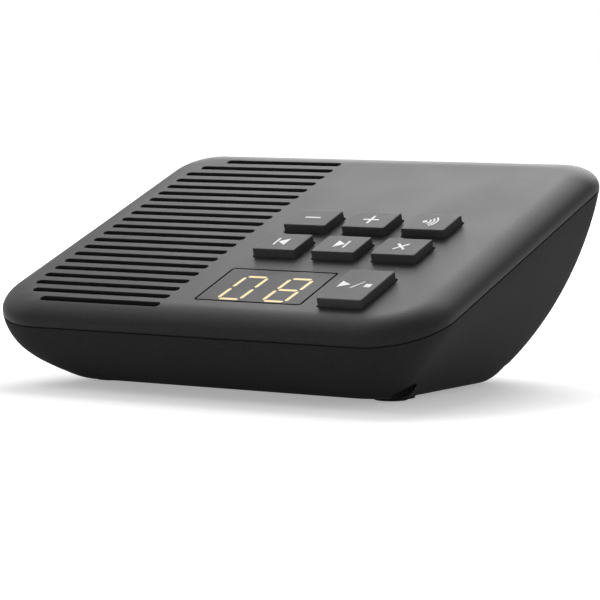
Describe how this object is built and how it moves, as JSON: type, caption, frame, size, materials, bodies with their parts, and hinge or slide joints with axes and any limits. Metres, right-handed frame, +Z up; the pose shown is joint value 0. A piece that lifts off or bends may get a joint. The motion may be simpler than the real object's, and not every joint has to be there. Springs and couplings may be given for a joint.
{
  "type": "answering machine",
  "caption": "Desktop telephone answering machine with a sloping deck: sound slots, two-digit display window, sprung keys and a bowl-shaped case on rubber feet.",
  "frame": {"origin": "on the table, under the middle of the case's bounding box", "axes": "+X to the right along the front edge, +Y to the rear, +Z up"},
  "size_m": [0.117, 0.0885, 0.049],
  "materials": {
    "cover_plastic": "fine spark texture",
    "tray_plastic": "fine spark texture",
    "key_plastic": "satin",
    "window_lens": "smoked, satin",
    "display_body": "matt",
    "digit_light": "lit",
    "digit_dark": "unlit",
    "switch_plastic": "moulded",
    "plunger_plastic": "moulded",
    "board_laminate": "solder mask",
    "screw_steel": "zinc plated",
    "basket_steel": "pressed sheet",
    "ferrite": "sintered",
    "cone_paper": "felted paper",
    "surround_foam": "foam",
    "coil_copper": "enamelled wire",
    "dust_cloth": "thin cloth",
    "tag_laminate": "paper laminate",
    "chip_epoxy": "moulded",
    "capacitor_sleeve": "sleeved can",
    "socket_plastic": "moulded",
    "contact_metal": "plated",
    "shield_tin": "tinned",
    "foot_rubber": "matt",
    "header_plastic": "moulded",
    "cable_plastic": "film",
    "wire_sleeve": "sleeve"
  },
  "bodies": {
    "case": {"base_tray": "tray_plastic", "capacitors": "capacitor_sleeve", "case_screws": "screw_steel", "display_module": "display_body", "display_window": "window_lens", "dust_cloth": "dust_cloth", "flat_cable": "cable_plastic", "foot_front_left": "foot_rubber", "foot_front_right": "foot_rubber", "foot_rear_left": "foot_rubber", "foot_rear_right": "foot_rubber", "inlet_centre_pin": "contact_metal", "key_board": "board_laminate", "key_board_header": "header_plastic", "key_board_screws": "screw_steel", "line_socket": "socket_plastic", "main_board": "board_laminate", "main_board_header": "header_plastic", "main_board_screws": "screw_steel", "power_inlet": "socket_plastic", "processor_chip": "chip_epoxy", "radio_shield": "shield_tin", "speaker_frame": "basket_steel", "speaker_front_plate": "basket_steel", "speaker_gasket": "surround_foam", "speaker_magnet": "ferrite", "speaker_screws": "screw_steel", "speaker_surround": "surround_foam", "speaker_tag": "tag_laminate", "speaker_wires": "wire_sleeve", "speaker_yoke": "basket_steel", "switch_housings": "switch_plastic", "tens_digit": "digit_light", "tens_digit_middle_bar": "digit_dark", "top_cover": "cover_plastic", "units_digit": "digit_light"},
    "minus_button": {"minus_key": "key_plastic", "minus_plunger": "plunger_plastic"},
    "plus_button": {"plus_key": "key_plastic", "plus_plunger": "plunger_plastic"},
    "paging_button": {"paging_key": "key_plastic", "paging_plunger": "plunger_plastic"},
    "previous_button": {"previous_key": "key_plastic", "previous_plunger": "plunger_plastic"},
    "next_button": {"next_key": "key_plastic", "next_plunger": "plunger_plastic"},
    "delete_button": {"delete_key": "key_plastic", "delete_plunger": "plunger_plastic"},
    "play_stop_button": {"play_stop_key": "key_plastic", "play_stop_plunger": "plunger_plastic"},
    "cone": {"speaker_cone": "cone_paper", "voice_coil": "coil_copper"}
  },
  "joints": [
    {"name": "minus_press", "type": "slide", "parent": "case", "child": "minus_button", "axis": [0, 0.3502, -0.9367], "range_m": [0, 0.0006], "stiffness_N_per_m": 2000},
    {"name": "plus_press", "type": "slide", "parent": "case", "child": "plus_button", "axis": [0, 0.3502, -0.9367], "range_m": [0, 0.0006], "stiffness_N_per_m": 2000},
    {"name": "paging_press", "type": "slide", "parent": "case", "child": "paging_button", "axis": [0, 0.3502, -0.9367], "range_m": [0, 0.0006], "stiffness_N_per_m": 2000},
    {"name": "previous_press", "type": "slide", "parent": "case", "child": "previous_button", "axis": [0, 0.3502, -0.9367], "range_m": [0, 0.0006], "stiffness_N_per_m": 2000},
    {"name": "next_press", "type": "slide", "parent": "case", "child": "next_button", "axis": [0, 0.3502, -0.9367], "range_m": [0, 0.0006], "stiffness_N_per_m": 2000},
    {"name": "delete_press", "type": "slide", "parent": "case", "child": "delete_button", "axis": [0, 0.3502, -0.9367], "range_m": [0, 0.0006], "stiffness_N_per_m": 2000},
    {"name": "play_stop_press", "type": "slide", "parent": "case", "child": "play_stop_button", "axis": [0, 0.3502, -0.9367], "range_m": [0, 0.0006], "stiffness_N_per_m": 2000},
    {"name": "cone_excursion", "type": "slide", "parent": "case", "child": "cone", "axis": [0, -0.3502, 0.9367], "range_m": [-0.0004, 0.0004], "stiffness_N_per_m": 1000}
  ]
}
